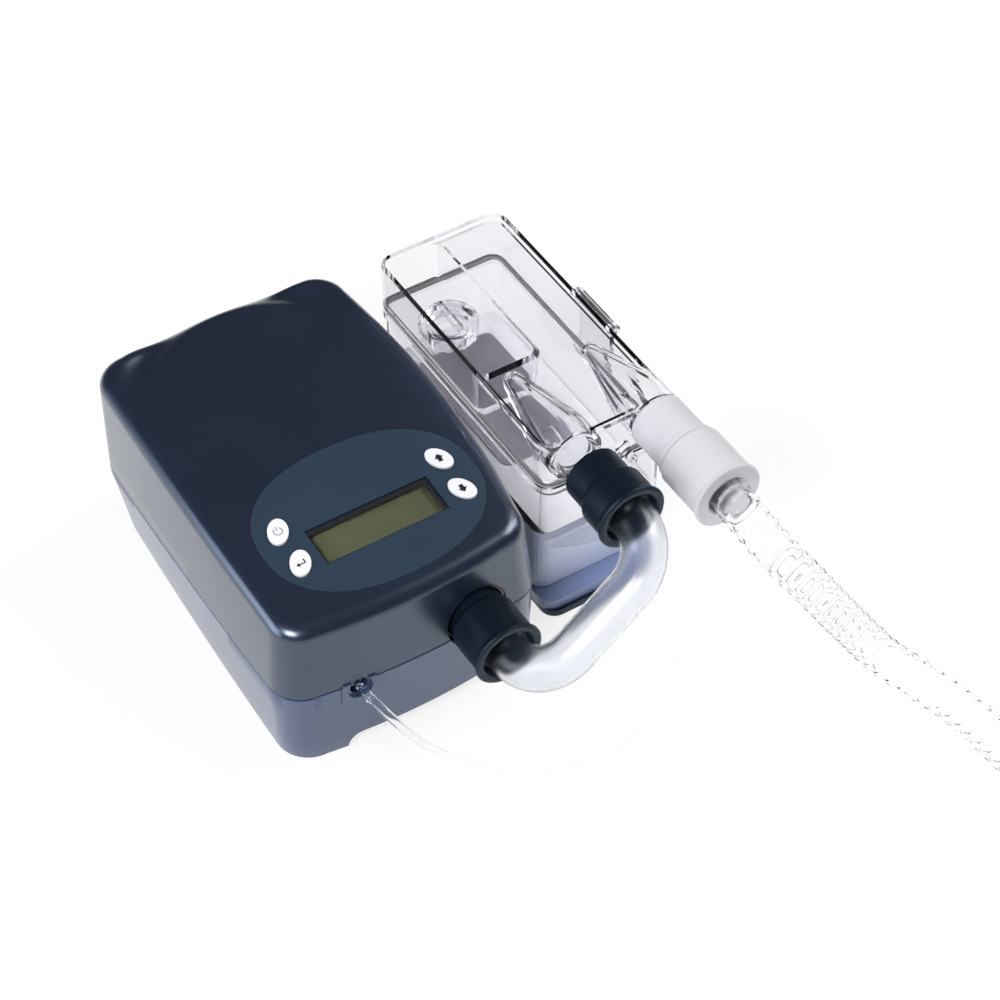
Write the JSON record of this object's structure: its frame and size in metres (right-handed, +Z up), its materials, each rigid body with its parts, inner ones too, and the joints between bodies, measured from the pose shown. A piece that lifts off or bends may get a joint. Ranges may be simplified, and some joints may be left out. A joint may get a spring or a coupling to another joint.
{
  "type": "bilevel pap machine",
  "caption": "Bedside breathing machine: a sloped flow generator with an oval key panel, a clear heated humidifier, joining tube and hose.",
  "frame": {"origin": "under the middle of the flow generator, humidifier and joining tube, on the table, the loose tubes left out", "axes": "+X from the flow generator towards the humidifier, +Y to the rear, +Z up"},
  "size_m": [0.2952, 0.7565, 0.1241],
  "materials": {
    "navy_shell": "satin moulded dark navy plastic",
    "navy_base": "satin moulded navy plastic, a shade lighter",
    "panel_blue": "slate blue membrane film",
    "window": "clear display window",
    "lcd": "olive green liquid crystal display",
    "button_white": "white soft button",
    "board_green": "green circuit board",
    "black_rubber": "soft black rubber",
    "black_plastic": "black moulded plastic",
    "grey_plastic": "pale grey moulded plastic",
    "motor_metal": "cast motor can",
    "steel": "turned steel",
    "foam": "grey acoustic foam",
    "filter_fibre": "white filter fibre",
    "blue_base": "light blue heater base",
    "clear": "clear moulded plastic",
    "white_rubber": "soft white rubber",
    "seal": "translucent seal",
    "hose_clear": "clear hose with a moulded spiral"
  },
  "bodies": {
    "main": {"upper_case": "navy_shell", "lower_case": "navy_base", "control_panel": "panel_blue", "display_window": "window", "display_module": "lcd", "button_board": "board_green", "outlet_port": "black_plastic", "outlet_cuff": "black_rubber", "pressure_port": "navy_base", "blower_housing": "grey_plastic", "blower_motor": "motor_metal", "blower_mounts": "black_rubber", "outlet_duct": "black_rubber", "main_board": "board_green", "inlet_muffler": "foam", "air_filter": "filter_fibre", "power_inlet": "black_plastic", "case_feet": "black_rubber", "case_screws": "steel", "humidifier_base": "blue_base", "humidifier_foot": "black_rubber", "heater_plate": "steel", "water_tub": "clear", "tub_plate": "steel", "lid_seal": "seal", "humidifier_lid": "clear", "lid_ducts": "clear", "latch_pin": "steel", "inlet_cuff": "black_rubber", "joining_tube": "hose_clear", "hose_cuff": "white_rubber", "pressure_nipple": "clear", "pressure_tube": "hose_clear", "breathing_hose": "hose_clear", "hose_coil": "hose_clear", "mask_cuff": "white_rubber"},
    "power_button": {"power_button": "button_white"},
    "enter_button": {"enter_button": "button_white"},
    "up_button": {"up_button": "button_white"},
    "down_button": {"down_button": "button_white"},
    "impeller": {"impeller": "grey_plastic", "motor_shaft": "steel"},
    "filter_cover": {"filter_cover": "navy_base"},
    "fill_cap": {"fill_cap": "clear"},
    "lid_latch": {"lid_latch": "clear"}
  },
  "joints": [
    {"name": "power_press", "type": "slide", "parent": "main", "child": "power_button", "axis": [0, 0.0797, -0.9968], "range_m": [0, 0.0008], "stiffness_N_per_m": 300},
    {"name": "enter_press", "type": "slide", "parent": "main", "child": "enter_button", "axis": [0, 0.0797, -0.9968], "range_m": [0, 0.0008], "stiffness_N_per_m": 300},
    {"name": "up_press", "type": "slide", "parent": "main", "child": "up_button", "axis": [0, 0.0797, -0.9968], "range_m": [0, 0.0008], "stiffness_N_per_m": 300},
    {"name": "down_press", "type": "slide", "parent": "main", "child": "down_button", "axis": [0, 0.0797, -0.9968], "range_m": [0, 0.0008], "stiffness_N_per_m": 300},
    {"name": "impeller_spin", "type": "hinge", "parent": "main", "child": "impeller", "pos_m": [-0.03192, 0.04275, 0.05], "axis": [0, 0, 1], "continuous": true},
    {"name": "filter_cover_pull", "type": "slide", "parent": "main", "child": "filter_cover", "axis": [0, 1, 0], "range_m": [0, 0.015]},
    {"name": "fill_cap_turn", "type": "hinge", "parent": "main", "child": "fill_cap", "pos_m": [0.05258, 0.06075, 0.093], "axis": [0, 0, 1], "range_deg": [0, 90]},
    {"name": "lid_latch_swing", "type": "hinge", "parent": "main", "child": "lid_latch", "pos_m": [0.10998, 0.01775, 0.113], "axis": [0, -1, 0], "range_deg": [0, 80]}
  ]
}
